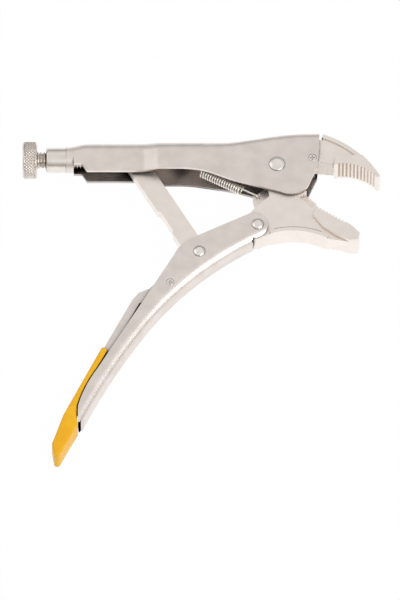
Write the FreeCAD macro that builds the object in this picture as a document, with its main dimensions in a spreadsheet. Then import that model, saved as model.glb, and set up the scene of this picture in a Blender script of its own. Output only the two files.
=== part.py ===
import FreeCAD, Part
import math
import os
import re

import Sketcher

# Curved-jaw locking pliers.  Every sub-part is drawn in the tool's own coordinates: the origin is
# the centre of the main pivot, +X runs to the jaws, +Y to the back of the upper handle, and the
# middle plane of the tool is z = 0.  One Placement then stands all of them on the flat side of the
# upper handle, so that the part's frame has its origin in the middle of that resting side.

os.makedirs("parts", exist_ok=True)
document = FreeCAD.newDocument("LockingPliers")
sizes = document.addObject("Spreadsheet::Sheet", "Sizes")
bodies = []


# ---------------------------------------------------------------- the table of sizes

# In millimetres and degrees.
SIZES = {
    # where the tool rests: the main pivot seen from the middle of the resting side
    "pivot_from_rest_x": 62.0,
    "pivot_from_rest_y": -2.0,

    # sheet steel and running clearances
    "sheet": 2.0,
    "web_fit": 0.1,
    "side_play": 0.25,
    "rivet_play": 0.05,
    "thread_play": 0.08,
    "link_gap": 0.9,

    # the linkage: pivots of the lower jaw, the link and the release lever
    "jaw_rivet_x": -12.2,
    "jaw_rivet_y": -43.8,
    "link_rivet_x": -48.8,
    "link_rivet_y": -63.4,
    "link_nose_x": -90.5,
    "lever_pin_x": -67.1,
    "lever_pin_y": -85.9,
    "lock_pin_x": 22.2,
    "lock_pin_y": 4.6,

    # rivets and staked pins
    "main_rivet_radius": 4.0,
    "main_head_radius": 5.0,
    "rivet_radius": 3.0,
    "rivet_head_radius": 3.7,
    "head_height": 1.3,
    "head_flat": 0.55,
    "pin_radius": 2.5,
    "stake_arm": 1.6,
    "stake_width": 0.7,
    "stake_depth": 0.5,

    # adjusting screw, its knurled knob and the threaded collar, on one axis
    "screw_y": 7.5,
    "thread_radius": 5.4,
    "thread_pitch": 2.0,
    "thread_depth": 0.9,
    "point_radius": 3.6,
    "point_length": 3.2,
    "point_round": 1.4,
    "collar_start_x": -145.1,
    "collar_radius": 7.9,
    "collar_edge": 0.8,
    "thread_shown": 5.6,
    "knob_length": 9.1,
    "knob_radius": 11.75,
    "knob_edge": 1.1,
    "spigot_radius": 4.0,
    "spigot_length": 6.6,
    "knob_gap": 0.15,

    # lower jaw
    "hub_radius": 12.5,
    "hub_rear_x": -7.0,
    "hub_rear_y": -10.4,
    "hub_front_x": 10.0,
    "hub_front_y": -7.5,
    "neck_x": -5.1,
    "neck_upper_y": -18.9,
    "neck_lower_y": -22.4,
    "shoulder_x": -12.9,
    "shoulder_y": -29.3,
    "heel_radius": 9.7,
    "heel_turn": 156.0,
    "heel_middle_turn": 215.0,
    "heel_foot_turn": 277.0,
    "lower_back_x": 9.8,
    "lower_back_y": -92.5,
    "lower_back_radius": 44.6,
    "lower_back_front": 61.8,
    "lower_back_rear": 116.0,
    "lower_groove_end": 68.0,
    "lower_cutter_x": 18.4,
    "lower_cutter_y": -18.6,
    "lower_cutter_end_x": 24.3,
    "lower_cutter_end_y": -24.3,
    "lower_grip_x": 24.6,
    "lower_grip_y": -30.9,
    "lower_grip_end_x": 46.0,
    "lower_grip_end_y": -44.3,
    "lower_nose_x": 51.6,
    "lower_nose_y": -50.2,
    "lower_tip_x": 50.4,
    "lower_tip_y": -55.2,
    "lower_tip_foot": 5.6,
    "lower_block_rear_x": 22.5,
    "lower_block_rear_y": -36.9,
    "lower_block_foot_x": 28.4,
    "lower_block_foot_y": -45.2,
    "lower_block_low_x": 36.8,
    "lower_block_low_y": -51.4,

    # shared by both jaws
    "block_half": 8.75,
    "rim_half": 7.4,
    "rim_width": 2.6,
    "bevel_width": 6.4,
    "bevel_flat": 0.2,
    "bevel_step": 0.7,
    "bevel_beyond": 2.4,
    "groove_width": 0.9,
    "groove_depth": 0.8,
    "tooth_depth": 1.1,
    "tooth_pitch": 2.3,
    "tooth_rise": 0.3,
    "tail_half": 1.2,
    "hook_hole_radius": 1.5,

    # upper jaw
    "upper_root_x": 15.5,
    "upper_root_y": 18.5,
    "upper_step_x": 28.7,
    "upper_back_x": 6.9,
    "upper_back_y": -39.0,
    "upper_back_radius": 65.0,
    "upper_back_start": 70.2,
    "upper_back_end": 27.3,
    "upper_block_turn": 44.5,
    "upper_grip_x": 40.6,
    "upper_grip_y": -31.2,
    "upper_grip_radius": 30.8,
    "upper_grip_start": 99.3,
    "upper_grip_end": 43.7,
    "upper_cutter_x": 35.3,
    "upper_cutter_y": -3.7,
    "upper_cutter_end_x": 23.7,
    "upper_cutter_end_y": -2.4,
    "upper_throat_x": 16.5,
    "upper_throat_y": 1.2,
    "upper_bevel_width": 5.4,
    "upper_block_x": 36.8,
    "upper_block_y": 5.8,
    "upper_shelf_x": 45.9,
    "upper_shelf_y": 6.4,

    # tension spring and its two hooks
    "hook_x": -11.8,
    "hook_y": -20.3,
    "anchor_x": -60.0,
    "anchor_y": 5.5,
    "anchor_half": 1.2,
    "anchor_width": 7.4,
    "anchor_edge": 3.2,
    "coil_radius": 2.6,
    "wire_radius": 0.58,
    "coil_pitch": 1.65,
    "coil_turns": 17.0,
    "front_leg": 12.0,

    # toggle link
    "link_half": 3.5,
    "link_width": 13.0,
    "link_boss_radius": 5.6,
    "notch_start": 22.0,
    "notch_end": 40.3,
    "notch_ramp": 2.0,
    "notch_depth": 1.3,

    # lower handle
    "handle_half": 8.5,
    "handle_bend": 6.5,
    "lobe_x": -13.2,
    "lobe_top_y": -35.0,
    "lobe_foot_y": -52.7,
    "lobe_radius": 9.0,
    "edge_start_x": -14.4,
    "edge_start_y": -34.6,
    "edge_bend_x": -53.0,
    "edge_bend_y": -53.6,
    "edge_bend_radius": 24.0,
    "edge_turn_x": -64.6,
    "edge_turn_y": -66.0,
    "edge_low_x": -112.0,
    "edge_low_y": -147.5,
    "edge_low_radius": 90.0,
    "edge_curl_x": -124.1,
    "edge_curl_y": -174.0,
    "edge_curl_radius": 40.0,
    "handle_end_x": -122.6,
    "handle_end_y": -190.5,
    "back_start_x": -15.3,
    "back_start_y": -56.2,
    "back_middle_x": -79.7,
    "back_middle_y": -113.9,
    "back_end_x": -120.6,
    "back_end_y": -184.0,
    "back_upper_radius": 210.0,
    "back_lower_radius": 461.0,
    "back_start_turn": 120.0,
    "back_middle_turn": 144.2,
    "back_end_turn": 154.8,

    # release lever and its dipped sleeve
    "lever_sheet": 1.6,
    "coat": 1.8,
    "lever_nose_x": -65.5,
    "lever_nose_y": -72.8,
    "lever_face_x": -60.8,
    "lever_face_y": -76.0,
    "lever_eye_start": -50.0,
    "lever_eye_end": 0.0,
    "eye_relief": 1.35,
    "eye_step": 1.05,
    "lever_knee_x": -79.6,
    "lever_knee_y": -89.0,
    "lever_hump_x": -86.6,
    "lever_hump_y": -92.2,
    "lever_bend_x": -90.8,
    "lever_bend_y": -97.6,
    "lever_waist_x": -107.6,
    "lever_waist_y": -130.6,
    "lever_depth": 4.6,
    "lever_low_x": -131.6,
    "lever_low_y": -180.9,
    "lever_tail_x": -138.6,
    "lever_tail_y": -201.0,
    "lever_tip_x": -137.2,
    "lever_tip_y": -208.4,
    "paddle_x": -131.8,
    "paddle_y": -197.5,
    "paddle_rear_x": -127.0,
    "paddle_rear_y": -188.0,
    "lever_inner_x": -126.3,
    "lever_inner_y": -177.0,
    "lever_entry_x": -121.3,
    "lever_entry_y": -167.5,
    "sleeve_gap": 0.6,
    "edge_low_turn": 148.0,
    "edge_curl_turn": 169.0,
    "sleeve_foot_in": 1.0,
    "sleeve_foot_up": 3.5,

    # upper handle: where its section changes along X, and what the section is there
    "tube_rear_x": -132.5,
    "tube_front_x": -127.8,
    "grip_rear_x": -118.5,
    "grip_front_x": -85.0,
    "middle_rear_x": -73.5,
    "middle_front_x": -48.0,
    "nose_rear_x": -25.0,
    "nose_crown_x": 20.0,
    "nose_front_x": 28.0,
    "tube_top": 15.4,
    "tube_foot": -0.4,
    "tube_bend": 7.7,
    "grip_half": 7.8,
    "grip_top": 17.8,
    "grip_bend": 7.5,
    "middle_half": 12.0,
    "middle_top": 16.3,
    "nose_half": 8.5,
    "nose_top": 24.3,
    "nose_bend": 6.0,
    "open_foot": -26.0,
    "open_foot_bend": 1.0,

    # upper handle, the edge of the folded sheet and its cavity
    "cavity_drop": 4.0,
    "slot_top_y": 0.8,
    "slot_crest_x": -122.6,
    "slot_front_x": -119.4,
    "edge_y": -4.6,
    "arch_start_x": -62.0,
    "arch_end_x": -40.0,
    "arch_end_y": -7.8,
    "arch_radius": 76.0,
    "belly_x": 2.0,
    "belly_y": -20.2,
    "belly_radius": 13.8,
    "chin_x": 19.2,
    "chin_y": -16.4,
    "throat_x": 25.1,
    "throat_y": -2.4,
    "front_x": 26.6,
    "front_y": 11.0,
}

for row, (alias, number) in enumerate(SIZES.items(), 2):
    sizes.set(f"A{row}", alias.replace("_", " "))
    sizes.set(f"B{row}", str(number))
    sizes.setAlias(f"B{row}", alias)
document.recompute()


def bound(text):
    """Turn a formula in the table's words into one that FreeCAD can follow."""
    return re.sub(r"[a-z][a-z_]*", lambda m: "Sizes." + m[0] if m[0] in SIZES else m[0], text)


def value(text):
    """The number that a formula in the table's words gives now."""
    return float(sizes.evalExpression(bound(text)))


# ---------------------------------------------------------------- ways of making

def new_body(label):
    """Start a sub-part and stand it where the tool rests."""
    body = document.addObject("PartDesign::Body", label)
    body.Label = label
    body.setExpression("Placement.Base.x", bound("pivot_from_rest_x"))
    body.setExpression("Placement.Base.y", bound("pivot_from_rest_y"))
    body.setExpression("Placement.Base.z", bound("middle_half"))
    bodies.append(body)
    return body


def turn_body(body, x, y, along_x, along_y):
    """Put a sub-part's own origin at one point of the tool with its X axis towards another."""
    body.setExpression("Placement.Base.x", bound(f"pivot_from_rest_x + {x}"))
    body.setExpression("Placement.Base.y", bound(f"pivot_from_rest_y + {y}"))
    body.Placement.Rotation.Axis = FreeCAD.Vector(0, 0, 1)
    angle = f"atan2({along_y} - {y}; {along_x} - {x})"
    body.setExpression("Placement.Rotation.Angle", bound(angle))


def new_sketch(body, name, plane="XY_Plane", shift=None, turn=None):
    """Attach a sketch to an origin plane, moved by (x, y, z) and turned about an axis of it."""
    sketch = body.newObject("Sketcher::SketchObject", name)
    support = [item for item in body.Origin.OriginFeatures if item.Role == plane][0]
    sketch.AttachmentSupport = [(support, "")]
    sketch.MapMode = "FlatFace"
    if turn:
        axis, angle = turn
        rotation = FreeCAD.Rotation(FreeCAD.Vector(*axis), value(angle))
        sketch.AttachmentOffset = FreeCAD.Placement(FreeCAD.Vector(), rotation)
        sketch.setExpression("AttachmentOffset.Rotation.Angle", bound(angle))
    for letter, distance in zip("xyz", shift or ()):
        sketch.setExpression("AttachmentOffset.Base." + letter, bound(distance))
    return sketch


def pin_point(sketch, edge, end, x, y):
    """Hold one end of an edge, or a circle's centre, at formulas for its two coordinates."""
    for kind, text in (("DistanceX", x), ("DistanceY", y)):
        index = sketch.addConstraint(
            Sketcher.Constraint(kind, -1, 1, edge, end, value(text))
        )
        sketch.setExpression(f"Constraints[{index}]", bound(text))


def hold_radius(sketch, edge, text):
    index = sketch.addConstraint(Sketcher.Constraint("Radius", edge, value(text)))
    sketch.setExpression(f"Constraints[{index}]", bound(text))


def draw_loop(sketch, corners, closed=True):
    """Draw one loop, or an open path.  A corner is (x, y) or (x, y, radius, side), where the edge
    that leaves it is an arc with its centre on that side of the way, "left" or "right"."""
    first = sketch.GeometryCount
    ends = []
    starts = corners if closed else corners[:-1]
    for place, corner in enumerate(starts):
        following = corners[(place + 1) % len(corners)]
        start = FreeCAD.Vector(value(corner[0]), value(corner[1]), 0)
        stop = FreeCAD.Vector(value(following[0]), value(following[1]), 0)
        if len(corner) == 2:
            sketch.addGeometry(Part.LineSegment(start, stop))
            ends.append((1, 2))
            continue
        radius, side = value(corner[2]), corner[3]
        chord = stop - start
        inward = FreeCAD.Vector(-chord.y, chord.x, 0).normalize()
        if side == "right":
            inward = -inward
        rise = math.sqrt(max(radius ** 2 - (chord.Length / 2) ** 2, 0.0))
        centre = start + chord * 0.5 + inward * rise
        circle = Part.Circle(centre, FreeCAD.Vector(0, 0, 1), radius)
        near = math.atan2(start.y - centre.y, start.x - centre.x)
        far = math.atan2(stop.y - centre.y, stop.x - centre.x)
        if side == "left":
            sketch.addGeometry(Part.ArcOfCircle(circle, near, far))
            ends.append((1, 2))
        else:
            sketch.addGeometry(Part.ArcOfCircle(circle, far, near))
            ends.append((2, 1))
    for place, corner in enumerate(starts):
        edge = first + place
        pin_point(sketch, edge, ends[place][0], corner[0], corner[1])
        if len(corner) > 2:
            hold_radius(sketch, edge, corner[2])
    if not closed:
        pin_point(sketch, first + len(starts) - 1, ends[-1][1], *corners[-1])
    for place in range(len(starts) if closed else len(starts) - 1):
        after = (place + 1) % len(starts)
        sketch.addConstraint(
            Sketcher.Constraint(
                "Coincident", first + place, ends[place][1], first + after, ends[after][0]
            )
        )


def draw_circle(sketch, x, y, radius):
    centre = FreeCAD.Vector(value(x), value(y), 0)
    sketch.addGeometry(Part.Circle(centre, FreeCAD.Vector(0, 0, 1), value(radius)))
    edge = sketch.GeometryCount - 1
    pin_point(sketch, edge, 3, x, y)
    hold_radius(sketch, edge, radius)


def loop_sketch(body, name, *loops, **where):
    sketch = new_sketch(body, name, **where)
    for loop in loops:
        draw_loop(sketch, loop)
    return sketch


def circle_sketch(body, name, *circles, **where):
    sketch = new_sketch(body, name, **where)
    for circle in circles:
        draw_circle(sketch, *circle)
    return sketch


def pad(body, sketch, length, sides="Symmetric"):
    feature = body.newObject("PartDesign::Pad", sketch.Name + "Pad")
    feature.Profile = sketch
    feature.SideType = sides
    feature.setExpression("Length", bound(length))
    document.recompute()
    return feature


def cut(body, sketch, length, sides="Symmetric", reverse=False):
    """Cut a sketch through a sub-part, and make sure that the cut takes something away."""
    before = body.Shape.Volume
    feature = body.newObject("PartDesign::Pocket", sketch.Name + "Cut")
    feature.Profile = sketch
    feature.SideType = sides
    feature.Reversed = reverse
    feature.setExpression("Length", bound(length))
    document.recompute()
    if body.Shape.Volume > before - 0.001:
        raise RuntimeError(f"{feature.Label} cuts nothing")
    return feature


def spin(body, sketch, axis="V_Axis"):
    """Turn a half section right round an axis of its own sketch."""
    feature = body.newObject("PartDesign::Revolution", sketch.Name + "Turned")
    feature.Profile = sketch
    feature.ReferenceAxis = (sketch, [axis])
    feature.Angle = 360
    document.recompute()
    return feature


def repeat(body, feature, kind, **settings):
    """Repeat a cut along a line or about an axis, and make the pattern the body's result."""
    pattern = body.newObject("PartDesign::" + kind, feature.Name + "Row")
    pattern.Originals = [feature]
    for name, setting in settings.items():
        if isinstance(setting, str):
            pattern.setExpression(name, bound(setting))
        else:
            setattr(pattern, name, setting)
    body.Tip = pattern
    document.recompute()
    return pattern


def polar(centre, radius, angle):
    """A point on a named circle, as two formulas."""
    return (
        f"{centre}_x + ({radius}) * cos({angle})",
        f"{centre}_y + ({radius}) * sin({angle})",
    )


# ---------------------------------------------------------------- upper handle

def eased(x, start, stop, before, after):
    """A size that changes smoothly from one value to another between two places along X."""
    part = f"min(1; max(0; ({x} - {start}) / ({stop} - {start})))"
    return f"({before} + ({after} - {before}) * {part} ^ 2 * (3 - 2 * {part}))"


def channel_section(body, number, x, is_tube, hollow):
    """One section of the folded sheet, or of the space inside it: a closed tube or an open U."""
    inset = "sheet" if hollow else "0"
    half = eased(x, "grip_front_x", "middle_rear_x", "grip_half", "middle_half")
    if not is_tube and value(x) > value("middle_rear_x"):
        half = eased(x, "middle_front_x", "nose_rear_x", "middle_half", "nose_half")
    if value(x) <= value("grip_rear_x"):
        top = eased(x, "tube_rear_x", "grip_rear_x", "tube_top", "grip_top")
    elif value(x) <= value("middle_rear_x"):
        top = eased(x, "grip_front_x", "middle_rear_x", "grip_top", "middle_top")
    else:
        top = eased(x, "middle_front_x", "nose_crown_x", "middle_top", "nose_top")
    bend = eased(x, "middle_front_x", "nose_rear_x", "grip_bend", "nose_bend")
    foot, foot_bend = "open_foot", "open_foot_bend"
    if is_tube:
        foot = f"(tube_foot + {inset})"
        foot_bend = f"(tube_bend - {inset})"
    elif hollow:
        foot = "(open_foot - cavity_drop)"
    half = f"({half} - {inset})"
    top = f"({top} - {inset})"
    bend = f"({bend} - {inset})"
    return loop_sketch(
        body,
        ("Inner" if hollow else "Outer") + f"Section{number}",
        [
            (f"-{half}", f"{foot} + {foot_bend}", foot_bend, "left"),
            (f"-{half} + {foot_bend}", foot),
            (f"{half} - {foot_bend}", foot, foot_bend, "left"),
            (half, f"{foot} + {foot_bend}"),
            (half, f"{top} - {bend}", bend, "left"),
            (f"{half} - {bend}", top),
            (f"-{half} + {bend}", top, bend, "left"),
            (f"-{half}", f"{top} - {bend}"),
        ],
        plane="YZ_Plane",
        shift=("0", "0", x),
        turn=((0, 0, 1), "-90 deg"),
    )


def handle_loft(kind, hollow):
    """Join the sections: two of them closed, and then open ones, closer where the shape turns."""
    sections = []
    for start, stop, steps in (
        ("tube_rear_x", "tube_front_x", 2),
        ("tube_front_x", "grip_rear_x", 7),
        ("grip_rear_x", "grip_front_x", 1),
        ("grip_front_x", "middle_rear_x", 8),
        ("middle_rear_x", "middle_front_x", 1),
        ("middle_front_x", "nose_rear_x", 10),
        ("nose_rear_x", "nose_crown_x", 9),
        ("nose_crown_x", "nose_front_x", 1),
    ):
        for step in range(steps):
            x = f"({start} + ({stop} - {start}) * {step} / {steps})"
            is_tube = stop == "tube_front_x" or (start == "tube_front_x" and step == 0)
            sections.append(
                channel_section(upper_handle, len(sections), x, is_tube, hollow)
            )
    sections.append(
        channel_section(upper_handle, len(sections), "nose_front_x", False, hollow)
    )
    loft = upper_handle.newObject("PartDesign::" + kind, kind)
    loft.Profile = sections[0]
    loft.Sections = sections[1:]
    loft.Ruled = True
    document.recompute()


upper_handle = new_body("upper_handle")
handle_loft("AdditiveLoft", False)
handle_loft("SubtractiveLoft", True)
edge_cut = loop_sketch(
    upper_handle,
    "SheetEdge",
    [
        ("tube_front_x", "slot_top_y"),
        ("slot_crest_x", "slot_top_y"),
        ("slot_front_x", "edge_y"),
        ("arch_start_x", "edge_y", "arch_radius", "right"),
        ("arch_end_x", "arch_end_y"),
        ("belly_x", "belly_y", "belly_radius", "left"),
        ("chin_x", "chin_y"),
        ("throat_x", "throat_y"),
        ("front_x", "front_y"),
        ("front_x", "nose_top + sheet"),
        ("nose_front_x + sheet", "nose_top + sheet"),
        ("nose_front_x + sheet", "open_foot - 2 * cavity_drop"),
        ("tube_front_x", "open_foot - 2 * cavity_drop"),
    ],
)
cut(upper_handle, edge_cut, "4 * middle_half")
handle_holes = circle_sketch(
    upper_handle,
    "RivetHoles",
    ("0", "0", "main_rivet_radius + rivet_play"),
    ("lock_pin_x", "lock_pin_y", "pin_radius + rivet_play"),
)
cut(upper_handle, handle_holes, "4 * middle_half")
anchor = loop_sketch(
    upper_handle,
    "SpringAnchor",
    [
        ("anchor_x + anchor_edge", "anchor_y - anchor_edge / 3"),
        ("anchor_x + anchor_edge", "middle_top - sheet / 2"),
        ("anchor_x + anchor_edge - anchor_width", "middle_top - sheet / 2"),
        ("anchor_x + anchor_edge - anchor_width", "anchor_y - anchor_edge / 3"),
        ("anchor_x - anchor_edge / 3", "anchor_y - anchor_edge"),
        ("anchor_x + anchor_edge / 3", "anchor_y - anchor_edge"),
    ],
)
pad(upper_handle, anchor, "2 * anchor_half")
anchor_hole = circle_sketch(
    upper_handle, "AnchorHole", ("anchor_x", "anchor_y", "hook_hole_radius")
)
cut(upper_handle, anchor_hole, "4 * anchor_half")


# ---------------------------------------------------------------- upper jaw

def bevel(body, name, start, end, width, half, beyond="0"):
    """Grind both sides down to a cutting edge, with the steel on the right of start to end."""
    (x, y), (end_x, end_y) = start, end
    sides = [
        [
            ("-1", f"{sign}bevel_flat"),
            ("0", f"{sign}bevel_flat"),
            (width, f"{sign}({half} - bevel_step)"),
            (width, f"{sign}({half} + 1)"),
            ("-1", f"{sign}({half} + 1)"),
        ]
        for sign in ("", "-")
    ]
    run = f"sqrt(({end_x} - {x}) ^ 2 + ({end_y} - {y}) ^ 2)"
    sketch = loop_sketch(
        body,
        name,
        *sides,
        plane="XZ_Plane",
        shift=(x, "0", f"-({y})"),
        turn=((0, 1, 0), f"atan2({end_y} - {y}; {end_x} - {x}) - 90 deg"),
    )
    return cut(body, sketch, f"{run} + {beyond}", sides="One side")


upper_web_half = "(nose_half - sheet - web_fit)"
upper_jaw = new_body("upper_jaw")
back_start = polar("upper_back", "upper_back_radius", "upper_back_start")
back_end = polar("upper_back", "upper_back_radius", "upper_back_end")
grip_start = polar("upper_grip", "upper_grip_radius", "upper_grip_start")
grip_end = polar("upper_grip", "upper_grip_radius", "upper_grip_end")
upper_outline = loop_sketch(
    upper_jaw,
    "UpperOutline",
    [
        ("upper_root_x", "upper_root_y"),
        ("upper_step_x", "upper_root_y"),
        (*back_start, "upper_back_radius", "right"),
        back_end,
        (*grip_end, "upper_grip_radius", "left"),
        grip_start,
        ("upper_cutter_x", "upper_cutter_y"),
        ("upper_cutter_end_x", "upper_cutter_end_y"),
        ("upper_throat_x", "upper_throat_y"),
    ],
)
pad(upper_jaw, upper_outline, f"2 * {upper_web_half}")
rim_outer = polar("upper_back", "upper_back_radius", "upper_block_turn")
upper_rim = loop_sketch(
    upper_jaw,
    "UpperRim",
    [
        (*back_start, "upper_back_radius", "right"),
        rim_outer,
        (
            *polar("upper_back", "upper_back_radius - rim_width", "upper_block_turn"),
            "upper_back_radius - rim_width",
            "left",
        ),
        polar("upper_back", "upper_back_radius - rim_width", "upper_back_start"),
    ],
)
pad(upper_jaw, upper_rim, "2 * rim_half")
upper_block = loop_sketch(
    upper_jaw,
    "UpperBlock",
    [
        (*rim_outer, "upper_back_radius", "right"),
        back_end,
        (*grip_end, "upper_grip_radius", "left"),
        grip_start,
        ("upper_block_x", "upper_block_y"),
        ("upper_shelf_x", "upper_shelf_y"),
    ],
)
pad(upper_jaw, upper_block, "2 * block_half")
bevel(
    upper_jaw,
    "UpperBevel",
    ("upper_cutter_x", "upper_cutter_y"),
    ("upper_cutter_end_x", "upper_cutter_end_y"),
    "upper_bevel_width",
    upper_web_half,
)
upper_tooth = loop_sketch(
    upper_jaw,
    "UpperTooth",
    [
        ("upper_grip_radius - tooth_rise", "-tooth_pitch / 2"),
        ("upper_grip_radius + tooth_depth", "0"),
        ("upper_grip_radius - tooth_rise", "tooth_pitch / 2"),
    ],
    shift=("upper_grip_x", "upper_grip_y", "0"),
    turn=((0, 0, 1), "upper_grip_end + 1.5 * tooth_pitch / upper_grip_radius * 180 / pi"),
)
upper_tooth_cut = cut(upper_jaw, upper_tooth, "4 * block_half")
tooth_turn = "tooth_pitch / upper_grip_radius * 180 / pi"
tooth_count = f"floor((upper_grip_start - upper_grip_end) / ({tooth_turn}) - 1.5)"
repeat(
    upper_jaw,
    upper_tooth_cut,
    "PolarPattern",
    Axis=(upper_tooth, ["N_Axis"]),
    Angle=f"({tooth_count} - 1) * {tooth_turn}",
    Occurrences=tooth_count,
)
cut(
    upper_jaw,
    circle_sketch(
        upper_jaw, "LockPinHole", ("lock_pin_x", "lock_pin_y", "pin_radius + rivet_play")
    ),
    "4 * block_half",
)


# ---------------------------------------------------------------- lower jaw

lower_web_half = "(nose_half - sheet - side_play)"
lower_jaw = new_body("lower_jaw")
lower_back_front = polar("lower_back", "lower_back_radius", "lower_back_front")
lower_back_rear = polar("lower_back", "lower_back_radius", "lower_back_rear")
heel_top = polar("jaw_rivet", "heel_radius", "heel_turn")
heel_foot = polar("jaw_rivet", "heel_radius", "heel_foot_turn")
tip_foot = ("lower_tip_x - lower_tip_foot", "lower_tip_y - lower_tip_foot / 40")
lower_outline = loop_sketch(
    lower_jaw,
    "LowerOutline",
    [
        ("hub_front_x", "hub_front_y"),
        ("hub_rear_x", "hub_rear_y"),
        ("neck_x", "neck_upper_y"),
        ("neck_x", "neck_lower_y"),
        ("shoulder_x", "shoulder_y"),
        (*heel_top, "heel_radius", "left"),
        (*polar("jaw_rivet", "heel_radius", "heel_middle_turn"), "heel_radius", "left"),
        heel_foot,
        (*lower_back_rear, "lower_back_radius", "right"),
        lower_back_front,
        tip_foot,
        ("lower_tip_x", "lower_tip_y"),
        ("lower_nose_x", "lower_nose_y"),
        ("lower_grip_end_x", "lower_grip_end_y"),
        ("lower_grip_x", "lower_grip_y"),
        ("lower_cutter_end_x", "lower_cutter_end_y"),
        ("lower_cutter_x", "lower_cutter_y"),
    ],
)
pad(lower_jaw, lower_outline, f"2 * {lower_web_half}")
hub = circle_sketch(lower_jaw, "Hub", ("0", "0", "hub_radius"))
pad(lower_jaw, hub, f"2 * {lower_web_half}")
tail = loop_sketch(
    lower_jaw,
    "SpringTail",
    [
        ("neck_x", "hub_rear_y - 2"),
        ("hook_x + 1", "hook_y + 3.4"),
        ("hook_x - 3.2", "hook_y + 1.2"),
        ("hook_x - 3.6", "hook_y - 2.6"),
        ("hook_x - 2.4", "shoulder_y + 1.6"),
        ("shoulder_x + 2", "shoulder_y"),
        ("neck_x + 1", "neck_lower_y"),
    ],
)
pad(lower_jaw, tail, "2 * tail_half")
lower_rim = loop_sketch(
    lower_jaw,
    "LowerRim",
    [
        (*polar("lower_back", "lower_back_radius", "108"), "lower_back_radius", "right"),
        lower_back_front,
        (
            *polar("lower_back", "lower_back_radius + rim_width", "lower_back_front"),
            "lower_back_radius + rim_width",
            "left",
        ),
        polar("lower_back", "lower_back_radius + rim_width", "108"),
    ],
)
pad(lower_jaw, lower_rim, "2 * rim_half")
groove_outer = "lower_back_radius + rim_width + groove_width"
lower_groove = [
    (*polar("lower_back", groove_outer, "104"), groove_outer, "right"),
    polar("lower_back", groove_outer, "lower_groove_end"),
    (
        *polar("lower_back", "lower_back_radius + rim_width", "lower_groove_end"),
        "lower_back_radius + rim_width",
        "left",
    ),
    polar("lower_back", "lower_back_radius + rim_width", "104"),
]
for side, level, reverse in (("Top", lower_web_half, False), ("Bottom", f"-{lower_web_half}", True)):
    groove_sketch = loop_sketch(lower_jaw, "LowerGroove" + side, lower_groove, shift=("0", "0", level))
    cut(lower_jaw, groove_sketch, "groove_depth", sides="One side", reverse=reverse)
lower_block = loop_sketch(
    lower_jaw,
    "LowerBlock",
    [
        ("lower_grip_x", "lower_grip_y"),
        ("lower_grip_end_x", "lower_grip_end_y"),
        ("lower_nose_x", "lower_nose_y"),
        ("lower_tip_x", "lower_tip_y"),
        tip_foot,
        ("lower_block_low_x", "lower_block_low_y"),
        ("lower_block_foot_x", "lower_block_foot_y"),
        ("lower_block_rear_x", "lower_block_rear_y"),
    ],
)
pad(lower_jaw, lower_block, "2 * block_half")
bevel(
    lower_jaw,
    "LowerBevel",
    ("lower_cutter_x", "lower_cutter_y"),
    ("lower_cutter_end_x", "lower_cutter_end_y"),
    "bevel_width",
    lower_web_half,
    "bevel_beyond",
)
grip_slope = "atan2(lower_grip_end_y - lower_grip_y; lower_grip_end_x - lower_grip_x)"
grip_run = "sqrt((lower_grip_end_x - lower_grip_x) ^ 2 + (lower_grip_end_y - lower_grip_y) ^ 2)"
lower_tooth = loop_sketch(
    lower_jaw,
    "LowerTooth",
    [
        ("tooth_pitch / 2", "tooth_rise"),
        ("tooth_pitch", "-tooth_depth"),
        ("1.5 * tooth_pitch", "tooth_rise"),
    ],
    shift=("lower_grip_x", "lower_grip_y", "0"),
    turn=((0, 0, 1), grip_slope),
)
lower_tooth_cut = cut(lower_jaw, lower_tooth, "4 * block_half")
tooth_count = f"floor({grip_run} / tooth_pitch - 1)"
repeat(
    lower_jaw,
    lower_tooth_cut,
    "LinearPattern",
    Direction=(lower_tooth, ["H_Axis"]),
    Length=f"({tooth_count} - 1) * tooth_pitch",
    Occurrences=tooth_count,
)
jaw_holes = circle_sketch(
    lower_jaw,
    "JawHoles",
    ("0", "0", "main_rivet_radius + rivet_play"),
    ("jaw_rivet_x", "jaw_rivet_y", "rivet_radius + rivet_play"),
    ("hook_x", "hook_y", "hook_hole_radius"),
)
cut(lower_jaw, jaw_holes, "4 * block_half")


# ---------------------------------------------------------------- lower handle

lower_handle = new_body("lower_handle")
handle_blank = loop_sketch(
    lower_handle,
    "HandleBlank",
    [
        ("lobe_x", "lobe_foot_y", "lobe_radius", "left"),
        ("lobe_x", "lobe_top_y"),
        ("edge_bend_x", "lobe_top_y"),
        ("edge_curl_x - 2 * handle_bend", "edge_low_y"),
        ("edge_curl_x - 2 * handle_bend", "handle_end_y"),
        ("back_end_x", "back_end_y", "back_lower_radius", "right"),
        ("back_middle_x", "back_middle_y", "back_upper_radius", "right"),
        ("back_start_x", "back_start_y"),
        ("back_start_x", "lobe_foot_y"),
    ],
)
pad(lower_handle, handle_blank, "2 * handle_half")


def fold_back(name, inset, bend):
    """Round the two long corners of the folded back, outside or inside the sheet."""
    radii = [value(f"{part}_radius + {inset}") for part in ("back_upper", "back_lower")]
    level = value(f"handle_half - {inset}")
    corners = []
    for number, edge in enumerate(lower_handle.Tip.Shape.Edges, 1):
        if not isinstance(edge.Curve, Part.Circle):
            continue
        on_side = abs(abs(edge.BoundBox.Center.z) - level) < 0.01
        if on_side and min(abs(edge.Curve.Radius - radius) for radius in radii) < 0.01:
            corners.append(f"Edge{number}")
    base = lower_handle.Tip
    fold = lower_handle.newObject("PartDesign::Fillet", name)
    fold.Base = (base, corners)
    fold.setExpression("Radius", bound(bend))
    document.recompute()


def inside_back(point):
    """The inner face of the folded back beside a named point of its outer face."""
    return (
        f"{point}_x + sheet * cos({point}_turn)",
        f"{point}_y + sheet * sin({point}_turn)",
    )


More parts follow.
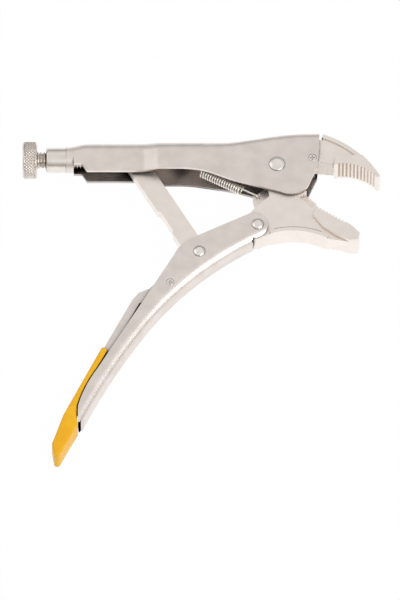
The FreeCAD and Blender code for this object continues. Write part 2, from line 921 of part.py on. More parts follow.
fold_back("BackFold", "0", "handle_bend")
handle_hollow = loop_sketch(
    lower_handle,
    "HandleHollow",
    [
        (*inside_back("back_end"), "back_lower_radius + sheet", "right"),
        (*inside_back("back_middle"), "back_upper_radius + sheet", "right"),
        inside_back("back_start"),
        ("back_start_x + sheet", "back_start_y - sheet"),
        ("lobe_x + lobe_radius", "back_start_y - sheet"),
        ("lobe_x + lobe_radius", "lobe_top_y + sheet"),
        ("edge_bend_x", "lobe_top_y + sheet"),
        ("edge_curl_x - 3 * handle_bend", "edge_low_y"),
        ("edge_curl_x - 3 * handle_bend", "handle_end_y - sheet"),
        ("handle_end_x", "handle_end_y - sheet"),
    ],
)
cut(lower_handle, handle_hollow, "2 * (handle_half - sheet)")
fold_back("InnerFold", "sheet", "handle_bend - sheet")
handle_edge = loop_sketch(
    lower_handle,
    "HandleEdge",
    [
        ("edge_start_x", "edge_start_y"),
        ("edge_bend_x", "edge_bend_y", "edge_bend_radius", "left"),
        ("edge_turn_x", "edge_turn_y"),
        ("edge_low_x", "edge_low_y", "edge_low_radius", "left"),
        ("edge_curl_x", "edge_curl_y", "edge_curl_radius", "left"),
        ("handle_end_x", "handle_end_y"),
        ("handle_end_x", "handle_end_y - 2 * sheet"),
        ("edge_curl_x - 4 * handle_bend", "handle_end_y - 2 * sheet"),
        ("edge_curl_x - 4 * handle_bend", "edge_start_y + 2 * sheet"),
        ("edge_start_x", "edge_start_y + 2 * sheet"),
    ],
)
cut(lower_handle, handle_edge, "4 * handle_half")
handle_holes = circle_sketch(
    lower_handle,
    "HandleHoles",
    ("jaw_rivet_x", "jaw_rivet_y", "rivet_radius + rivet_play"),
    ("link_rivet_x", "link_rivet_y", "rivet_radius + rivet_play"),
    ("lever_pin_x", "lever_pin_y", "pin_radius + rivet_play"),
)
cut(lower_handle, handle_holes, "4 * handle_half")


# ---------------------------------------------------------------- toggle link

toggle_link = new_body("toggle_link")
turn_body(toggle_link, "link_rivet_x", "link_rivet_y", "link_nose_x", "screw_y")
link_length = "sqrt((link_nose_x - link_rivet_x) ^ 2 + (screw_y - link_rivet_y) ^ 2)"
link_edge = "link_width / 2"
link_outline = loop_sketch(
    toggle_link,
    "LinkOutline",
    [
        ("0", f"-{link_edge}"),
        (link_length, f"-{link_edge}", link_edge, "left"),
        (f"{link_length} + {link_edge}", "0", link_edge, "left"),
        (link_length, link_edge),
        ("notch_end", link_edge),
        ("notch_end - notch_ramp / 2", f"{link_edge} - notch_depth"),
        ("notch_start + notch_ramp", f"{link_edge} - notch_depth"),
        ("notch_start", link_edge),
        ("0", link_edge, link_edge, "left"),
        (f"-{link_edge}", "0", link_edge, "left"),
    ],
)
pad(toggle_link, link_outline, "2 * link_half")
link_boss = circle_sketch(toggle_link, "LinkBoss", ("0", "0", "link_boss_radius"))
pad(toggle_link, link_boss, "2 * (handle_half - sheet - side_play)")
link_hole = circle_sketch(toggle_link, "LinkHole", ("0", "0", "rivet_radius + rivet_play"))
cut(toggle_link, link_hole, "4 * handle_half")


# ---------------------------------------------------------------- release lever and sleeve

release_lever = new_body("release_lever")
lever_half = "(handle_half - sheet - side_play)"
lever_eye = "(pin_radius + rivet_play + lever_sheet)"
lever_outer = [
    ("lever_nose_x", "lever_nose_y"),
    ("lever_knee_x", "lever_knee_y"),
    ("lever_hump_x", "lever_hump_y"),
    ("lever_bend_x", "lever_bend_y"),
    ("lever_waist_x", "lever_waist_y"),
    ("lever_low_x", "lever_low_y"),
    ("lever_tail_x", "lever_tail_y"),
    ("lever_tip_x", "lever_tip_y"),
    ("paddle_x", "paddle_y"),
    ("paddle_rear_x", "paddle_rear_y"),
    ("lever_inner_x", "lever_inner_y"),
    ("lever_entry_x", "lever_entry_y"),
    ("lever_waist_x + lever_depth", "lever_waist_y - lever_depth / 2"),
    ("lever_bend_x + lever_depth", "lever_bend_y - lever_depth / 2"),
    (*polar("lever_pin", lever_eye, "lever_eye_start"), lever_eye, "left"),
    polar("lever_pin", lever_eye, "lever_eye_end"),
    ("lever_face_x", "lever_face_y"),
]
lever_outline = loop_sketch(release_lever, "LeverOutline", lever_outer)
pad(release_lever, lever_outline, f"2 * {lever_half}")
eye_faces = circle_sketch(
    release_lever, "EyeFaces", ("lever_pin_x", "lever_pin_y", f"{lever_eye} + eye_relief")
)
cut(release_lever, eye_faces, "4 * handle_half")
pad(release_lever, lever_outline, f"2 * ({lever_half} - eye_step)")
lever_hollow = loop_sketch(
    release_lever,
    "LeverHollow",
    [
        ("lever_knee_x + 2 * lever_sheet", "lever_knee_y - lever_sheet"),
        ("lever_bend_x + 1.5 * lever_sheet", "lever_bend_y"),
        ("lever_waist_x + 1.2 * lever_sheet", "lever_waist_y"),
        ("lever_low_x + 4 * lever_sheet", "lever_low_y + 4 * lever_sheet"),
        ("lever_low_x + 4 * lever_depth", "lever_low_y + 4 * lever_sheet"),
        (f"lever_pin_x + {lever_eye}", f"lever_pin_y - {lever_eye} - lever_sheet"),
        ("lever_pin_x - 2 * lever_sheet", "lever_pin_y - pin_radius - lever_sheet"),
    ],
)
cut(release_lever, lever_hollow, f"2 * ({lever_half} - lever_sheet)")
lever_hole = circle_sketch(
    release_lever, "LeverHole", ("lever_pin_x", "lever_pin_y", "pin_radius + rivet_play")
)
cut(release_lever, lever_hole, "4 * handle_half")


def beside_edge(point):
    """A point just outside the free edge of the lower handle, which the dipped coat stays clear of."""
    return (
        f"{point}_x + sleeve_gap * cos({point}_turn)",
        f"{point}_y + sleeve_gap * sin({point}_turn)",
    )


lever_sleeve = new_body("lever_sleeve")
sleeve_outline = loop_sketch(
    lever_sleeve,
    "SleeveOutline",
    [
        ("lever_waist_x - coat", "lever_waist_y - coat / 2"),
        ("lever_low_x - coat", "lever_low_y + coat / 3"),
        ("lever_tail_x - coat", "lever_tail_y"),
        ("lever_tip_x - coat", "lever_tip_y - coat / 3"),
        ("lever_tip_x", "lever_tip_y - coat"),
        ("lever_tip_x + coat", "lever_tip_y - coat / 3"),
        ("paddle_x + coat", "paddle_y - coat / 3"),
        (
            "handle_end_x - sleeve_gap - sleeve_foot_in",
            "handle_end_y + sleeve_foot_up",
            "edge_curl_radius + sleeve_gap",
            "right",
        ),
        (*beside_edge("edge_curl"), "edge_low_radius + sleeve_gap", "right"),
        beside_edge("edge_low"),
        ("lever_waist_x + 1.2 * coat", "lever_waist_y - 1.6 * coat"),
    ],
)
pad(lever_sleeve, sleeve_outline, f"2 * ({lever_half} + coat)")
sleeve_bed = loop_sketch(lever_sleeve, "SleeveBed", lever_outer)
cut(lever_sleeve, sleeve_bed, f"2 * {lever_half}")


# ---------------------------------------------------------------- rivets and staked pins

def rivet(label, x, y, half, radius, head_radius):
    """A rivet with two low domed heads, turned about the pivot that it makes."""
    body = new_body(label)
    turn_body(body, x, y, f"{x} + 1", y)
    section = loop_sketch(
        body,
        label.title().replace("_", "") + "Section",
        [
            ("0", f"-({half} + head_height)"),
            (f"{head_radius} * head_flat", f"-({half} + head_height)"),
            (head_radius, f"-({half} + head_height / 3)"),
            (head_radius, f"-({half})"),
            (radius, f"-({half})"),
            (radius, half),
            (head_radius, half),
            (head_radius, f"{half} + head_height / 3"),
            (f"{head_radius} * head_flat", f"{half} + head_height"),
            ("0", f"{half} + head_height"),
        ],
        plane="XZ_Plane",
    )
    spin(body, section)
    return body


def staked_pin(label, x, y, half):
    """A plain pin, flush with the sheet, with a cross struck into each end."""
    body = new_body(label)
    turn_body(body, x, y, f"{x} + 1", y)
    name = label.title().replace("_", "")
    pad(body, circle_sketch(body, name + "Round", ("0", "0", "pin_radius")), f"2 * {half}")
    arm, width = "stake_arm", "stake_width / 2"
    for side, level, reverse in (("Top", half, False), ("Bottom", f"-{half}", True)):
        cross = [
            (width, width), (arm, width), (arm, f"-{width}"), (width, f"-{width}"),
            (width, f"-{arm}"), (f"-{width}", f"-{arm}"), (f"-{width}", f"-{width}"),
            (f"-{arm}", f"-{width}"), (f"-{arm}", width), (f"-{width}", width),
            (f"-{width}", arm), (width, arm),
        ]
        mark = loop_sketch(body, name + side, cross, shift=("0", "0", level))
        cut(body, mark, "stake_depth", sides="One side", reverse=reverse)
    return body


rivet("main_pivot_rivet", "0", "0", "nose_half", "main_rivet_radius", "main_head_radius")
rivet(
    "jaw_handle_rivet", "jaw_rivet_x", "jaw_rivet_y", "handle_half", "rivet_radius", "rivet_head_radius"
)
rivet(
    "link_rivet", "link_rivet_x", "link_rivet_y", "handle_half", "rivet_radius", "rivet_head_radius"
)
staked_pin("jaw_lock_pin", "lock_pin_x", "lock_pin_y", "nose_half")
staked_pin("lever_pin", "lever_pin_x", "lever_pin_y", "handle_half")


# ---------------------------------------------------------------- adjusting screw

knob_front_x = "(collar_start_x - thread_shown)"
point_x = "(link_nose_x - link_width / 2 - link_gap)"

screw_collar = new_body("screw_collar")
turn_body(screw_collar, "0", "screw_y", "1", "screw_y")
collar_section = loop_sketch(
    screw_collar,
    "CollarSection",
    [
        ("collar_start_x", "thread_radius + thread_play"),
        ("tube_rear_x", "thread_radius + thread_play"),
        ("tube_rear_x", "collar_radius"),
        ("collar_start_x + collar_edge", "collar_radius"),
        ("collar_start_x", "collar_radius - collar_edge"),
    ],
)
spin(screw_collar, collar_section, "H_Axis")

adjusting_screw = new_body("adjusting_screw")
turn_body(adjusting_screw, "0", "screw_y", "1", "screw_y")
screw_section = loop_sketch(
    adjusting_screw,
    "ScrewSection",
    [
        (f"{knob_front_x} - spigot_length", "0"),
        (f"{point_x}", "0"),
        (f"{point_x}", "point_radius - point_round"),
        (f"{point_x} - point_round", "point_radius"),
        (f"{point_x} - point_length", "point_radius"),
        (f"{point_x} - point_length - thread_depth", "thread_radius"),
        (f"{knob_front_x} + knob_gap", "thread_radius"),
        (f"{knob_front_x} + knob_gap", "spigot_radius"),
        (f"{knob_front_x} - spigot_length", "spigot_radius"),
    ],
)
spin(adjusting_screw, screw_section, "H_Axis")
thread_start = f"({knob_front_x} + knob_gap + thread_pitch / 4)"
thread_groove = loop_sketch(
    adjusting_screw,
    "ThreadGroove",
    [
        (f"{thread_start} + thread_pitch * 0.05", "thread_radius + tooth_rise"),
        (f"{thread_start} + thread_pitch * 0.45", "thread_radius - thread_depth"),
        (f"{thread_start} + thread_pitch * 0.55", "thread_radius - thread_depth"),
        (f"{thread_start} + thread_pitch * 0.95", "thread_radius + tooth_rise"),
    ],
)
groove = adjusting_screw.newObject("PartDesign::Groove", "ThreadGrooveCut")
groove.Profile = thread_groove
groove.ReferenceAxis = (thread_groove, ["H_Axis"])
groove.Angle = 360
document.recompute()
groove_count = f"floor(({point_x} - point_length - thread_start_x) / thread_pitch - 1)"
groove_count = groove_count.replace("thread_start_x", thread_start)
repeat(
    adjusting_screw,
    groove,
    "LinearPattern",
    Direction=(thread_groove, ["H_Axis"]),
    Length=f"({groove_count} - 1) * thread_pitch",
    Occurrences=groove_count,
)

screw_knob = new_body("screw_knob")
turn_body(screw_knob, "0", "screw_y", "1", "screw_y")
spigot_end = f"{knob_front_x} - spigot_length - knob_gap"
knob_section = loop_sketch(
    screw_knob,
    "KnobSection",
    [
        (f"{knob_front_x} - knob_length", "0"),
        (spigot_end, "0"),
        (spigot_end, "spigot_radius + rivet_play"),
        (knob_front_x, "spigot_radius + rivet_play"),
        (knob_front_x, "knob_radius - knob_edge"),
        (f"{knob_front_x} - knob_edge", "knob_radius"),
        (f"{knob_front_x} - knob_length + knob_edge", "knob_radius"),
        (f"{knob_front_x} - knob_length", "knob_radius - knob_edge"),
    ],
)
spin(screw_knob, knob_section, "H_Axis")


# ---------------------------------------------------------------- tension spring

tension_spring = new_body("tension_spring")
turn_body(tension_spring, "hook_x", "hook_y", "anchor_x", "anchor_y")
span = "sqrt((anchor_x - hook_x) ^ 2 + (anchor_y - hook_y) ^ 2)"
coil_end = "(front_leg + coil_turns * coil_pitch)"
coil_wire = circle_sketch(
    tension_spring, "CoilWire", ("front_leg", "coil_radius", "wire_radius"), plane="XZ_Plane"
)
coil = tension_spring.newObject("PartDesign::AdditiveHelix", "Coil")
coil.Profile = coil_wire
coil.ReferenceAxis = (coil_wire, ["H_Axis"])
coil.Mode = "pitch-turns-angle"
coil.setExpression("Pitch", bound("coil_pitch"))
coil.setExpression("Turns", bound("coil_turns"))
document.recompute()
for name, leg_start, loop_x, tip_x, end_x, side in (
    ("Front", "front_leg", "coil_radius", "0", "1.5 * coil_radius", "left"),
    (
        "Rear",
        coil_end,
        f"{span} - coil_radius",
        span,
        f"{span} - 1.5 * coil_radius",
        "right",
    ),
):
    hook_path = new_sketch(tension_spring, name + "HookPath", plane="XZ_Plane")
    draw_loop(
        hook_path,
        [
            (leg_start, "coil_radius"),
            (loop_x, "coil_radius", "coil_radius", side),
            (tip_x, "0", "coil_radius", side),
            (end_x, "-coil_radius * sqrt(0.75)"),
        ],
        closed=False,
    )
    hook = tension_spring.newObject("PartDesign::AdditivePipe", name + "Hook")
    hook.Profile = circle_sketch(
        tension_spring,
        name + "HookWire",
        ("0", "coil_radius", "wire_radius"),
        plane="YZ_Plane",
        shift=("0", "0", leg_start),
    )
    hook.Spine = (hook_path, [])
    document.recompute()


# ---------------------------------------------------------------- check and write

document.recompute()
for item in document.Objects:
    faults = [word for word in item.State if word in ("Invalid", "Error")]
    if faults:
        raise RuntimeError(f"{item.Label} is {faults[0].lower()}")
for body in bodies:
    shape = body.Shape
    if shape.isNull() or not shape.isValid():
        raise RuntimeError(f"{body.Label} has no valid shape")
    shape.exportStep(f"parts/{body.Label}.step")
    print(body.Label, round(shape.Volume / 1000, 2), "cm3", len(shape.Solids), "solid")
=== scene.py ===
import bpy
import bmesh
import math
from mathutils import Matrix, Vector


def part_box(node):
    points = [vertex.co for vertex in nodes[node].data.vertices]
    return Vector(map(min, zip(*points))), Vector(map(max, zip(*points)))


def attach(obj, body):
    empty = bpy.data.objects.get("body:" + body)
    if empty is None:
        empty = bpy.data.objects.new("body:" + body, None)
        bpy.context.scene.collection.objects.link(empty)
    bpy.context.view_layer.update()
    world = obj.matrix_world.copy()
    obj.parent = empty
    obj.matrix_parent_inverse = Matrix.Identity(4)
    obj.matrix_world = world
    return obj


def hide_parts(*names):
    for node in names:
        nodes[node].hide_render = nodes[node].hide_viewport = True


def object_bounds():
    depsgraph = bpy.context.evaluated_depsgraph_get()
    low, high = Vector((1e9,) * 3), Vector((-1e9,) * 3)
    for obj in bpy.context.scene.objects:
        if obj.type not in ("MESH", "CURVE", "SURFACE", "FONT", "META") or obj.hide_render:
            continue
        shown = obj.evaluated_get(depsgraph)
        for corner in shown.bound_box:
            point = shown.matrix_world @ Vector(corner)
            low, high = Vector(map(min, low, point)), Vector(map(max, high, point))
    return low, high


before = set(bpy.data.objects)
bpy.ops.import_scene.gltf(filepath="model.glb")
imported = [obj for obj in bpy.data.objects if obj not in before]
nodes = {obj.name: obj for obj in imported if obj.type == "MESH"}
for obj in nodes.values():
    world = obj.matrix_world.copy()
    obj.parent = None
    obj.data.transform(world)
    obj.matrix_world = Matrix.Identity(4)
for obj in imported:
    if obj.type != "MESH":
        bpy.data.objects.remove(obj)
cad_low, cad_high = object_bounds()


# ---------------------------------------------------------------- folded handles
# The two handles are folded from 2 mm sheet, tumbled in a barrel and plated with nickel.  Tumbling
# leaves a soft satin with fine scuffs in every direction, and rounds each sheared edge.

def srgb(code):
    """A hex colour as the linear values that the shader wants."""
    channels = []
    for start in (1, 3, 5):
        level = int(code[start:start + 2], 16) / 255
        channels.append(level / 12.92 if level <= 0.04045 else ((level + 0.055) / 1.055) ** 2.4)
    return (*channels, 1.0)


def add_node(material, kind, links=None, **settings):
    """Add one shader node, set its inputs and properties, and link its inputs to other outputs."""
    node = material.node_tree.nodes.new(kind)
    for name, setting in settings.items():
        socket = node.inputs.get(name.replace("_", " ").title()) if name[0].islower() else None
        if socket is not None and not hasattr(node, name):
            socket.default_value = setting
        else:
            setattr(node, name, setting)
    for name, output in (links or {}).items():
        material.node_tree.links.new(output, node.inputs[name])
    return node


def new_material(name, **shader_settings):
    """Start a material with its shader's constants set on the shader's own sockets."""
    material = bpy.data.materials.new(name)
    material.use_nodes = True
    shader = material.node_tree.nodes["Principled BSDF"]
    for setting, level in shader_settings.items():
        shader.inputs[setting.replace("_", " ").title()].default_value = level
    return material, shader


def place_in_millimetres(material):
    """The point on the surface, in millimetres of the real tool."""
    where = add_node(material, "ShaderNodeTexCoord")
    scaled = add_node(material, "ShaderNodeVectorMath", {"Vector": where.outputs["Object"]})
    scaled.operation = "MULTIPLY"
    scaled.inputs[1].default_value = (1000, 1000, 1000)
    return scaled.outputs["Vector"]


def noise(material, place, size_mm, detail=3.0, roughness=0.55):
    """Noise whose features are about size_mm across."""
    return add_node(
        material,
        "ShaderNodeTexNoise",
        {"Vector": place},
        scale=1 / size_mm,
        detail=detail,
        roughness=roughness,
    ).outputs["Fac"]


def remap(material, value, low, high, to_low, to_high):
    node = add_node(material, "ShaderNodeMapRange", {"Value": value})
    for socket, level in zip(("From Min", "From Max", "To Min", "To Max"), (low, high, to_low, to_high)):
        node.inputs[socket].default_value = level
    return node.outputs["Result"]


def blend_colours(material, factor, first, second):
    node = add_node(material, "ShaderNodeMix", data_type="RGBA")
    material.node_tree.links.new(factor, node.inputs["Factor"])
    for index, colour in ((6, first), (7, second)):
        if isinstance(colour, str):
            node.inputs[index].default_value = srgb(colour)
        else:
            material.node_tree.links.new(colour, node.inputs[index])
    return node.outputs[2]


def bump(material, height, depth_mm):
    node = add_node(material, "ShaderNodeBump", {"Height": height}, strength=1.0)
    node.inputs["Distance"].default_value = depth_mm / 1000
    return node.outputs["Normal"]


def nickel_plate(name, bright, dull, scuff_mm, roughness, relief_mm, painted_shade_reach_mm=7.0, painted_shade_colour="#17110D"):
    """Satin nickel over steel: warm pale grey, with a fine tumbled grain that blurs reflections, and with
    painted shade: the colour is darkened towards a shade colour in hollows and crevices within the given
    reach.
    """
    material, shader = new_material(name, metallic=1.0)
    place = place_in_millimetres(material)
    cloud = noise(material, place, 9.0)
    grain = noise(material, place, scuff_mm, detail=5.0, roughness=0.7)
    tone = remap(material, cloud, 0.35, 0.65, 0.0, 1.0)
    colour = blend_colours(material, tone, dull, bright)
    # Painted shade: where ambient occlusion finds nearby surfaces (hollows, crevices, between parts), the
    # colour is blended towards the shade colour.
    painted_shade_ao = add_node(material, "ShaderNodeAmbientOcclusion", samples=8)
    painted_shade_ao.inputs["Distance"].default_value = painted_shade_reach_mm / 1000
    shade = remap(material, painted_shade_ao.outputs["AO"], 0.42, 0.9, 0.0, 1.0)
    colour = blend_colours(material, shade, painted_shade_colour, colour)
    links = material.node_tree.links
    links.new(colour, shader.inputs["Base Color"])
    polish = remap(material, grain, 0.3, 0.7, roughness - 0.06, roughness + 0.06)
    links.new(polish, shader.inputs["Roughness"])
    links.new(bump(material, grain, relief_mm), shader.inputs["Normal"])
    return material


def finish_node(name, material, edge_mm):
    """Give a solid its material, and round its edges a little, as tumbling does."""
    node = nodes[name]
    node.data.materials.clear()
    node.data.materials.append(material)
    weld = node.modifiers.new("join the faces", "WELD")
    weld.merge_threshold = 0.000002
    edges = node.modifiers.new("tumbled edges", "BEVEL")
    edges.width = edge_mm / 1000
    edges.segments = 2
    edges.limit_method = "ANGLE"
    edges.angle_limit = math.radians(32)
    shading = node.modifiers.new("even shading", "WEIGHTED_NORMAL")
    shading.weight = 60
    return node


# Painted shade: inside the channels and under the folds of the handles and the release lever, the colour is
# darkened to near black within 12 mm.
handle_nickel = nickel_plate(
    "nickel plated sheet steel", "#F5ECE6", "#EBE2DC", 0.7, 0.4, 0.045, painted_shade_reach_mm=12.0
)
for handle in ("upper_handle", "lower_handle"):
    finish_node(handle, handle_nickel, 0.35)


# ---------------------------------------------------------------- jaws and link
# Both jaws and the link are drop forgings in alloy steel, broached and ground, then plated with
# the handles.  Forging leaves a slightly rougher skin than rolled sheet.

# Painted light and shade: the base is paler than the handles' same plating, partly standing in for the
# brighter light on the jaw end, and a pale shade colour darkens the forgings a little in close crevices.
forged_nickel = nickel_plate(
    "nickel plated forging", "#FFF7F0", "#FAF1EA", 0.8, 0.42, 0.04, painted_shade_reach_mm=1.6, painted_shade_colour="#D6CABE"
)
for forging in ("upper_jaw", "lower_jaw", "toggle_link"):
    finish_node(forging, forged_nickel, 0.3)


# ---------------------------------------------------------------- rivets, pins and collar
# Rivets are headed cold from wire and set by spinning, so their heads are smoother than the sheet
# around them.  The collar is turned and pressed into the tube.

# Painted shade: rivet and pin heads are darkened towards near black where they sit close to the parts around
# them.
spun_nickel = nickel_plate("nickel plated rivet wire", "#FCF7F1", "#F4EEE7", 0.3, 0.22, 0.006)
for fastening in ("main_pivot_rivet", "jaw_handle_rivet", "link_rivet", "jaw_lock_pin", "lever_pin"):
    finish_node(fastening, spun_nickel, 0.3)
# Painted shade: the collar is darkened towards near black where it sits close to the parts around it.
turned_nickel = nickel_plate("nickel plated turned steel", "#F8F1EA", "#ECE4DC", 0.3, 0.27, 0.012)
finish_node("screw_collar", turned_nickel, 0.3)


# ---------------------------------------------------------------- release lever and its sleeve
# The lever is pressed from thinner sheet.  Its tail is dipped hot in liquid vinyl, which drains to
# a soft, even, rounded coat with a satin skin.

finish_node("release_lever", handle_nickel, 0.3)


def dipped_vinyl():
    """Plasticised PVC: bright warm yellow, a little light let in, and a satin skin."""
    material, shader = new_material(
        "dipped yellow vinyl",
        metallic=0.0,
        subsurface_weight=0.12,
        subsurface_scale=0.0015,
    )
    shader.inputs["IOR"].default_value = 1.53
    shader.inputs["Specular IOR Level"].default_value = 0.3
    shader.inputs["Subsurface Radius"].default_value = (1.0, 0.6, 0.15)
    place = place_in_millimetres(material)
    drain = noise(material, place, 14.0, detail=2.0)
    skin = noise(material, place, 1.6, detail=2.0)
    colour = blend_colours(material, remap(material, drain, 0.35, 0.65, 0.0, 1.0), "#F8B415", "#FFC31E")
    links = material.node_tree.links
    links.new(colour, shader.inputs["Base Color"])
    links.new(remap(material, skin, 0.3, 0.7, 0.3, 0.42), shader.inputs["Roughness"])
    links.new(bump(material, skin, 0.012), shader.inputs["Normal"])
    return material


def soft_copy(node_name, name, voxel_mm, passes):
    """A copy of a solid with every edge drawn soft, as a dipped coat has them."""
    source = nodes[node_name]
    piece = bpy.data.objects.new(name, source.data.copy())
    bpy.context.scene.collection.objects.link(piece)
    remesh = piece.modifiers.new("even skin", "REMESH")
    remesh.mode = "VOXEL"
    remesh.voxel_size = voxel_mm / 1000
    smooth = piece.modifiers.new("drawn soft", "SMOOTH")
    smooth.factor = 0.5
    smooth.iterations = passes
    baked = bpy.data.meshes.new_from_object(
        piece.evaluated_get(bpy.context.evaluated_depsgraph_get())
    )
    piece.modifiers.clear()
    piece.data = baked
    baked.polygons.foreach_set("use_smooth", [True] * len(baked.polygons))
    return piece


sleeve = soft_copy("lever_sleeve", "dipped_sleeve", 0.7, 14)
sleeve.data.materials.clear()
sleeve.data.materials.append(dipped_vinyl())
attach(sleeve, "release_lever")
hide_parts("lever_sleeve")


# ---------------------------------------------------------------- adjusting screw
# A rolled right-hand thread of 2 mm pitch on a rod, with a plain rounded point that the link's
# nose bears on.  Rolling leaves bright crests; the roots read slightly duller because shade is painted into
# them.

THREAD_PITCH = 0.002
THREAD_DEPTH = 0.0011


def ring_mesh(name, axis_y, axis_z, profile, around, ring_shift=None):
    """A closed skin round an axis along X.  profile lists (x, radius), from end to end, and
    ring_shift can change a point's (x, radius) with its angle."""
    mesh = bmesh.new()
    rings = []
    for x, radius in profile:
        ring = []
        for step in range(around):
            angle = 2 * math.pi * step / around
            along, out = (x, radius) if ring_shift is None else ring_shift(x, radius, angle)
            point = (along, axis_y + out * math.cos(angle), axis_z + out * math.sin(angle))
            ring.append(mesh.verts.new(point))
        rings.append(ring)
    for first, second in zip(rings, rings[1:]):
        for step in range(around):
            after = (step + 1) % around
            mesh.faces.new((first[step], first[after], second[after], second[step]))
    mesh.faces.new(rings[0])
    mesh.faces.new(reversed(rings[-1]))
    bmesh.ops.recalc_face_normals(mesh, faces=mesh.faces)
    data = bpy.data.meshes.new(name)
    mesh.to_mesh(data)
    mesh.free()
    data.polygons.foreach_set("use_smooth", [len(face.vertices) == 4 for face in data.polygons])
    piece = bpy.data.objects.new(name, data)
    bpy.context.scene.collection.objects.link(piece)
    return piece


screw_low, screw_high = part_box("adjusting_screw")
screw_y = (screw_low.y + screw_high.y) / 2
screw_z = (screw_low.z + screw_high.z) / 2
screw_radius = (screw_high.y - screw_low.y) / 2
SPIGOT = 0.0068
SPIGOT_RADIUS = 0.0038
POINT = 0.0034
STEPS_A_TURN = 14
SCREW_SIDES = 56


def threaded(x, radius, angle):
    """Cut the thread into the middle of the rod, running out at both ends."""
    start = screw_low.x + SPIGOT
    stop = screw_high.x - POINT
    turn = ((x - start) / THREAD_PITCH - angle / (2 * math.pi)) % 1
    cut = 1 - abs(2 * turn - 1)
    fade = min(1, max(0, (x - start) / THREAD_PITCH), max(0, (stop - x) / THREAD_PITCH))
    inside = start <= x <= stop
    return x, radius - (THREAD_DEPTH * min(1, 1.25 * cut) * fade if inside else 0)


rod = [
    (screw_low.x, SPIGOT_RADIUS),
    (screw_low.x + SPIGOT - 0.0001, SPIGOT_RADIUS),
    (screw_low.x + SPIGOT, screw_radius),
]
threaded_length = screw_high.x - POINT - screw_low.x - SPIGOT
steps = int(threaded_length / THREAD_PITCH * STEPS_A_TURN)
for step in range(1, steps):
    x = screw_low.x + SPIGOT + threaded_length * step / steps
    rod.append((x, screw_radius))
rod += [
    (screw_high.x - POINT, screw_radius - 0.0004),
    (screw_high.x - POINT + 0.0009, 0.0036),
    (screw_high.x - 0.0014, 0.0036),
    (screw_high.x - 0.0008, 0.0034),
    (screw_high.x - 0.0003, 0.0029),
    (screw_high.x, 0.0021),
]
# The thread is rolled, not cut, and plated with the rest; the shade painted into its grooves is grey, not
# black.
rolled_nickel = nickel_plate(
    "nickel plated rolled thread", "#F8F1EA", "#ECE4DC", 0.3, 0.3, 0.012, painted_shade_reach_mm=1.2, painted_shade_colour="#6E655E"
)
screw = ring_mesh("rolled_screw", screw_y, screw_z, rod, SCREW_SIDES, threaded)
screw.data.materials.append(rolled_nickel)
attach(screw, "adjusting_screw")
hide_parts("adjusting_screw")


# ---------------------------------------------------------------- knurled knob
# Turned from bar, its rim knurled between two wheels so that two sets of grooves cross in
# diamonds, with a chamfer on each side where the wheels leave plain metal.

knob_low, knob_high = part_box("screw_knob")
knob_radius = (knob_high.y - knob_low.y) / 2
KNURL_PITCH = 0.0021
KNURL_DEPTH = 0.0007
KNOB_CHAMFER = 0.0011
knurls = round(2 * math.pi * knob_radius / KNURL_PITCH)


def knurled(x, radius, angle):
    """Press crossing grooves into the rim."""
    if not knob_low.x + KNOB_CHAMFER < x < knob_high.x - KNOB_CHAMFER or radius < knob_radius - 1e-6:
        return x, radius
    around = angle * knurls / (2 * math.pi)
    along = (x - knob_low.x) / KNURL_PITCH
    one = abs(((around + along) % 1) * 2 - 1)
    other = abs(((around - along) % 1) * 2 - 1)
    return x, radius - KNURL_DEPTH * (1 - min(one, other))


width = knob_high.x - knob_low.x
rim = [
    (knob_low.x, 0.0012),
    (knob_low.x, knob_radius - KNOB_CHAMFER - 0.0016),
    (knob_low.x, knob_radius - KNOB_CHAMFER),
    (knob_low.x + KNOB_CHAMFER, knob_radius - 0.0001),
]
rim_steps = 30
for step in range(1, rim_steps):
    rim.append((knob_low.x + KNOB_CHAMFER + (width - 2 * KNOB_CHAMFER) * step / rim_steps, knob_radius))
rim += [
    (knob_high.x - KNOB_CHAMFER, knob_radius - 0.0001),
    (knob_high.x, knob_radius - KNOB_CHAMFER),
    (knob_high.x, knob_radius - KNOB_CHAMFER - 0.0016),
    (knob_high.x, 0.00406),
]
knob = ring_mesh("knurled_knob", screw_y, screw_z, rim, knurls * 8, knurled)
# Painted shade: the knurl grooves and chamfers are darkened towards grey where ambient occlusion finds them.
knob_nickel = nickel_plate(
    "nickel plated knurled steel", "#F2E8E0", "#E2D8CF", 0.3, 0.3, 0.01, painted_shade_reach_mm=1.2, painted_shade_colour="#6E625A"
)
knob.data.materials.append(knob_nickel)
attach(knob, "screw_knob")
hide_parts("screw_knob")


# ---------------------------------------------------------------- tension spring
# Hard-drawn wire, coiled close, its ends bent over into hooks.  The plating on wire is thin; the coils
# read a little darker and greyer than the handles where shade is painted into the narrow gaps between them.

# Painted shade: the narrow gaps between the coils are darkened towards near black.
spring_nickel = nickel_plate("plated spring wire", "#FFFAF3", "#F8F2EA", 0.3, 0.45, 0.004, painted_shade_reach_mm=0.6)
spring = nodes["tension_spring"]
spring.data.materials.clear()
spring.data.materials.append(spring_nickel)


# ---------------------------------------------------------------- floor, light and camera
# A seamless white table, white to the eye and in the metal's reflections, that still takes a soft
# shadow.  The tent of light is brightest where the flat sides mirror it, and both lamps stand clear
# of that direction, because the flat sides would glare.

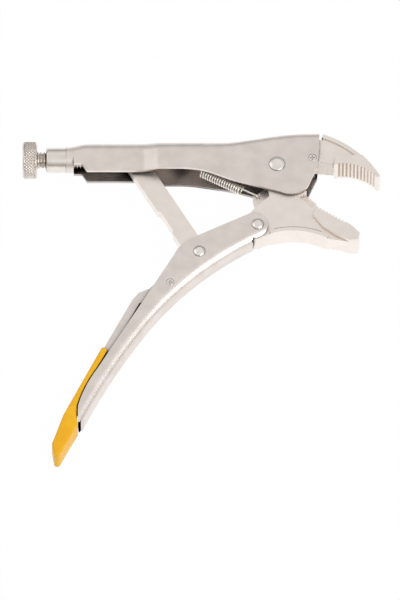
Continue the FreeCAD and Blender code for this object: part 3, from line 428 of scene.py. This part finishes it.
def white_table():
    material, shader = new_material("white table", roughness=0.9)
    shader.inputs["Base Color"].default_value = srgb("#F4F4F4")
    links = material.node_tree.links
    path = add_node(material, "ShaderNodeLightPath")
    glow = add_node(material, "ShaderNodeEmission")
    glow.inputs["Color"].default_value = (1, 1, 1, 1)
    seen = add_node(
        material, "ShaderNodeMath", {0: path.outputs["Is Camera Ray"], 1: path.outputs["Is Glossy Ray"]}
    )
    seen.operation = "MAXIMUM"
    also = add_node(material, "ShaderNodeMath", {0: seen.outputs[0], 1: path.outputs["Is Transmission Ray"]})
    also.operation = "MAXIMUM"
    share = add_node(material, "ShaderNodeMath", {0: also.outputs[0]})
    share.operation = "MULTIPLY"
    share.inputs[1].default_value = 0.985
    mix = add_node(
        material, "ShaderNodeMixShader", {0: share.outputs[0], 1: shader.outputs[0], 2: glow.outputs[0]}
    )
    output = material.node_tree.nodes["Material Output"]
    links.new(mix.outputs[0], output.inputs["Surface"])
    return material


centre = (cad_low + cad_high) / 2
bpy.ops.mesh.primitive_plane_add(size=8, location=(centre.x, centre.y, cad_low.z - 0.0002))
table = bpy.context.object
table.name = "table"
table.data.materials.append(white_table())

world = bpy.data.worlds.new("studio")
bpy.context.scene.world = world
world.use_nodes = True
sky = world.node_tree
view = sky.nodes.new("ShaderNodeTexCoord")
height = sky.nodes.new("ShaderNodeSeparateXYZ")
sky.links.new(view.outputs["Generated"], height.inputs[0])
tent = sky.nodes.new("ShaderNodeValToRGB")
sky.links.new(height.outputs["Z"], tent.inputs["Fac"])
tent.color_ramp.elements[0].position = 0.0
tent.color_ramp.elements[0].color = (0.5, 0.49, 0.48, 1)
tent.color_ramp.elements[1].position = 1.0
tent.color_ramp.elements[1].color = (0.74, 0.74, 0.74, 1)
TENT_LEVELS = ((0.16, 0.34), (0.42, 0.5), (0.66, 0.78), (0.84, 0.84), (0.93, 0.8))
for position, level in TENT_LEVELS:
    stop = tent.color_ramp.elements.new(position)
    stop.color = (level, level * 0.99, level * 0.98, 1)
sky.links.new(tent.outputs["Color"], sky.nodes["Background"].inputs["Color"])
sky.nodes["Background"].inputs["Strength"].default_value = 0.93


def area_lamp(name, place, target, width_m, height_m, watts):
    lamp = bpy.data.lights.new(name, "AREA")
    lamp.shape = "RECTANGLE"
    lamp.size, lamp.size_y = width_m, height_m
    lamp.energy = watts
    piece = bpy.data.objects.new(name, lamp)
    piece.location = place
    piece.rotation_mode = "QUATERNION"
    piece.rotation_quaternion = (Vector(target) - Vector(place)).to_track_quat("-Z", "Y")
    bpy.context.scene.collection.objects.link(piece)
    return piece


area_lamp("key", centre + Vector((0.6, -0.55, 0.7)), centre, 0.8, 0.6, 4.4)
area_lamp("fill", centre + Vector((-0.85, 0.3, 0.5)), centre, 1.0, 1.0, 1.3)

camera_data = bpy.data.cameras.new("camera")
camera_data.lens = 864
camera_data.sensor_width = 36
camera = bpy.data.objects.new("camera", camera_data)
bpy.context.scene.collection.objects.link(camera)
ELEVATION = math.radians(60)
DISTANCE = 9.0
aim = Vector((0.0136, -0.0959, 0.012))
back = Vector((0, -math.cos(ELEVATION), math.sin(ELEVATION)))
camera.location = aim + back * DISTANCE
camera.rotation_mode = "QUATERNION"
camera.rotation_quaternion = (-back).to_track_quat("-Z", "Y")
bpy.context.scene.camera = camera
bpy.context.scene.view_settings.view_transform = "Standard"
